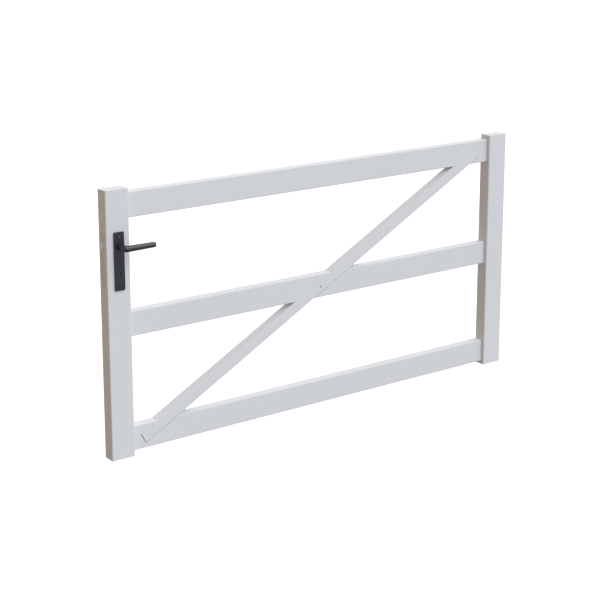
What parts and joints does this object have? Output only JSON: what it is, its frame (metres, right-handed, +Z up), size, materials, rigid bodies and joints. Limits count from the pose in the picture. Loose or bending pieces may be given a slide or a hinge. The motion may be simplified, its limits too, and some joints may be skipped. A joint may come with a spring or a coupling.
{
  "type": "garden gate",
  "caption": "Low painted timber garden gate: framed rails with a diagonal brace, lever handle and mortice lock, band hinges with plates for the post.",
  "frame": {"origin": "centre of the lower post plate's seat, the flat face that is screwed to the post", "axes": "+X from the closing edge towards the hinges, -Y out of the gate's front (the side with the lever), +Z up"},
  "size_m": [1.9699, 0.1732, 1],
  "materials": {
    "white_paint": "satin outdoor paint over planed softwood",
    "black_powder_coat": "satin black coating",
    "black_nylon": "moulded nylon",
    "dull_screw_steel": "dull zinc plated",
    "zinc_plated_case": "pressed sheet, zinc plated",
    "satin_steel": "satin stainless",
    "brass": "cast, dull",
    "black_steel": "black coating on rolled steel",
    "galvanised_steel": "hot-dip galvanised"
  },
  "bodies": {
    "post_fittings": {"lower_post_plate": "galvanised_steel", "lower_hinge_pin": "galvanised_steel", "lower_thrust_washer": "galvanised_steel", "upper_post_plate": "galvanised_steel", "upper_hinge_pin": "galvanised_steel", "upper_thrust_washer": "galvanised_steel"},
    "gate_leaf": {"latch_stile": "white_paint", "hinge_stile": "white_paint", "bottom_rail": "white_paint", "middle_rail": "white_paint", "top_rail": "white_paint", "diagonal_brace": "white_paint", "brace_screw_lower": "dull_screw_steel", "brace_screw_middle": "dull_screw_steel", "brace_screw_upper": "dull_screw_steel", "lock_case": "zinc_plated_case", "lock_cover": "zinc_plated_case", "lock_cover_screw_1": "dull_screw_steel", "lock_cover_screw_2": "dull_screw_steel", "lock_forend": "satin_steel", "forend_screw_upper": "satin_steel", "forend_screw_lower": "satin_steel", "latch_spring": "satin_steel", "detent_spring": "satin_steel", "outer_plate": "black_powder_coat", "inner_plate": "black_powder_coat", "lever_bush": "black_nylon", "knob_bush": "black_nylon", "plate_bolt_upper": "dull_screw_steel", "plate_bolt_lower": "dull_screw_steel", "plate_sleeve_nut_upper": "dull_screw_steel", "plate_sleeve_nut_lower": "dull_screw_steel", "upper_strap": "black_steel", "upper_coach_screw_1": "black_steel", "upper_coach_screw_2": "black_steel", "upper_coach_screw_3": "black_steel", "lower_strap": "black_steel", "lower_coach_screw_1": "black_steel", "lower_coach_screw_2": "black_steel", "lower_coach_screw_3": "black_steel"},
    "handle": {"lever_handle": "black_powder_coat", "turning_knob": "black_powder_coat", "spindle": "satin_steel", "follower": "brass", "lever_grub_screw": "dull_screw_steel", "knob_grub_screw": "dull_screw_steel"},
    "latch": {"latch_bolt": "satin_steel"},
    "deadbolt": {"dead_bolt": "satin_steel"}
  },
  "joints": [
    {"name": "gate_swing", "type": "hinge", "parent": "post_fittings", "child": "gate_leaf", "pos_m": [-0.02238, 0.0133, 0.3529], "axis": [0, 0, -1], "range_deg": [0, 110]},
    {"name": "lever_turn", "type": "hinge", "parent": "gate_leaf", "child": "handle", "pos_m": [-1.89348, -0.0273, 0.6519], "axis": [0, 1, 0], "range_deg": [0, 40], "stiffness_Nm_per_rad": 1, "springref_deg": -28.65},
    {"name": "latch_slide", "type": "slide", "parent": "gate_leaf", "child": "latch", "axis": [1, 0, 0], "range_m": [0, 0.0112], "deforming": ["latch_spring"]},
    {"name": "dead_bolt_slide", "type": "slide", "parent": "gate_leaf", "child": "deadbolt", "axis": [-1, 0, 0], "range_m": [0, 0.014]}
  ],
  "couplings": [
    {"joint": "latch_slide", "follows": "lever_turn", "m_per_rad": 0.015756}
  ]
}
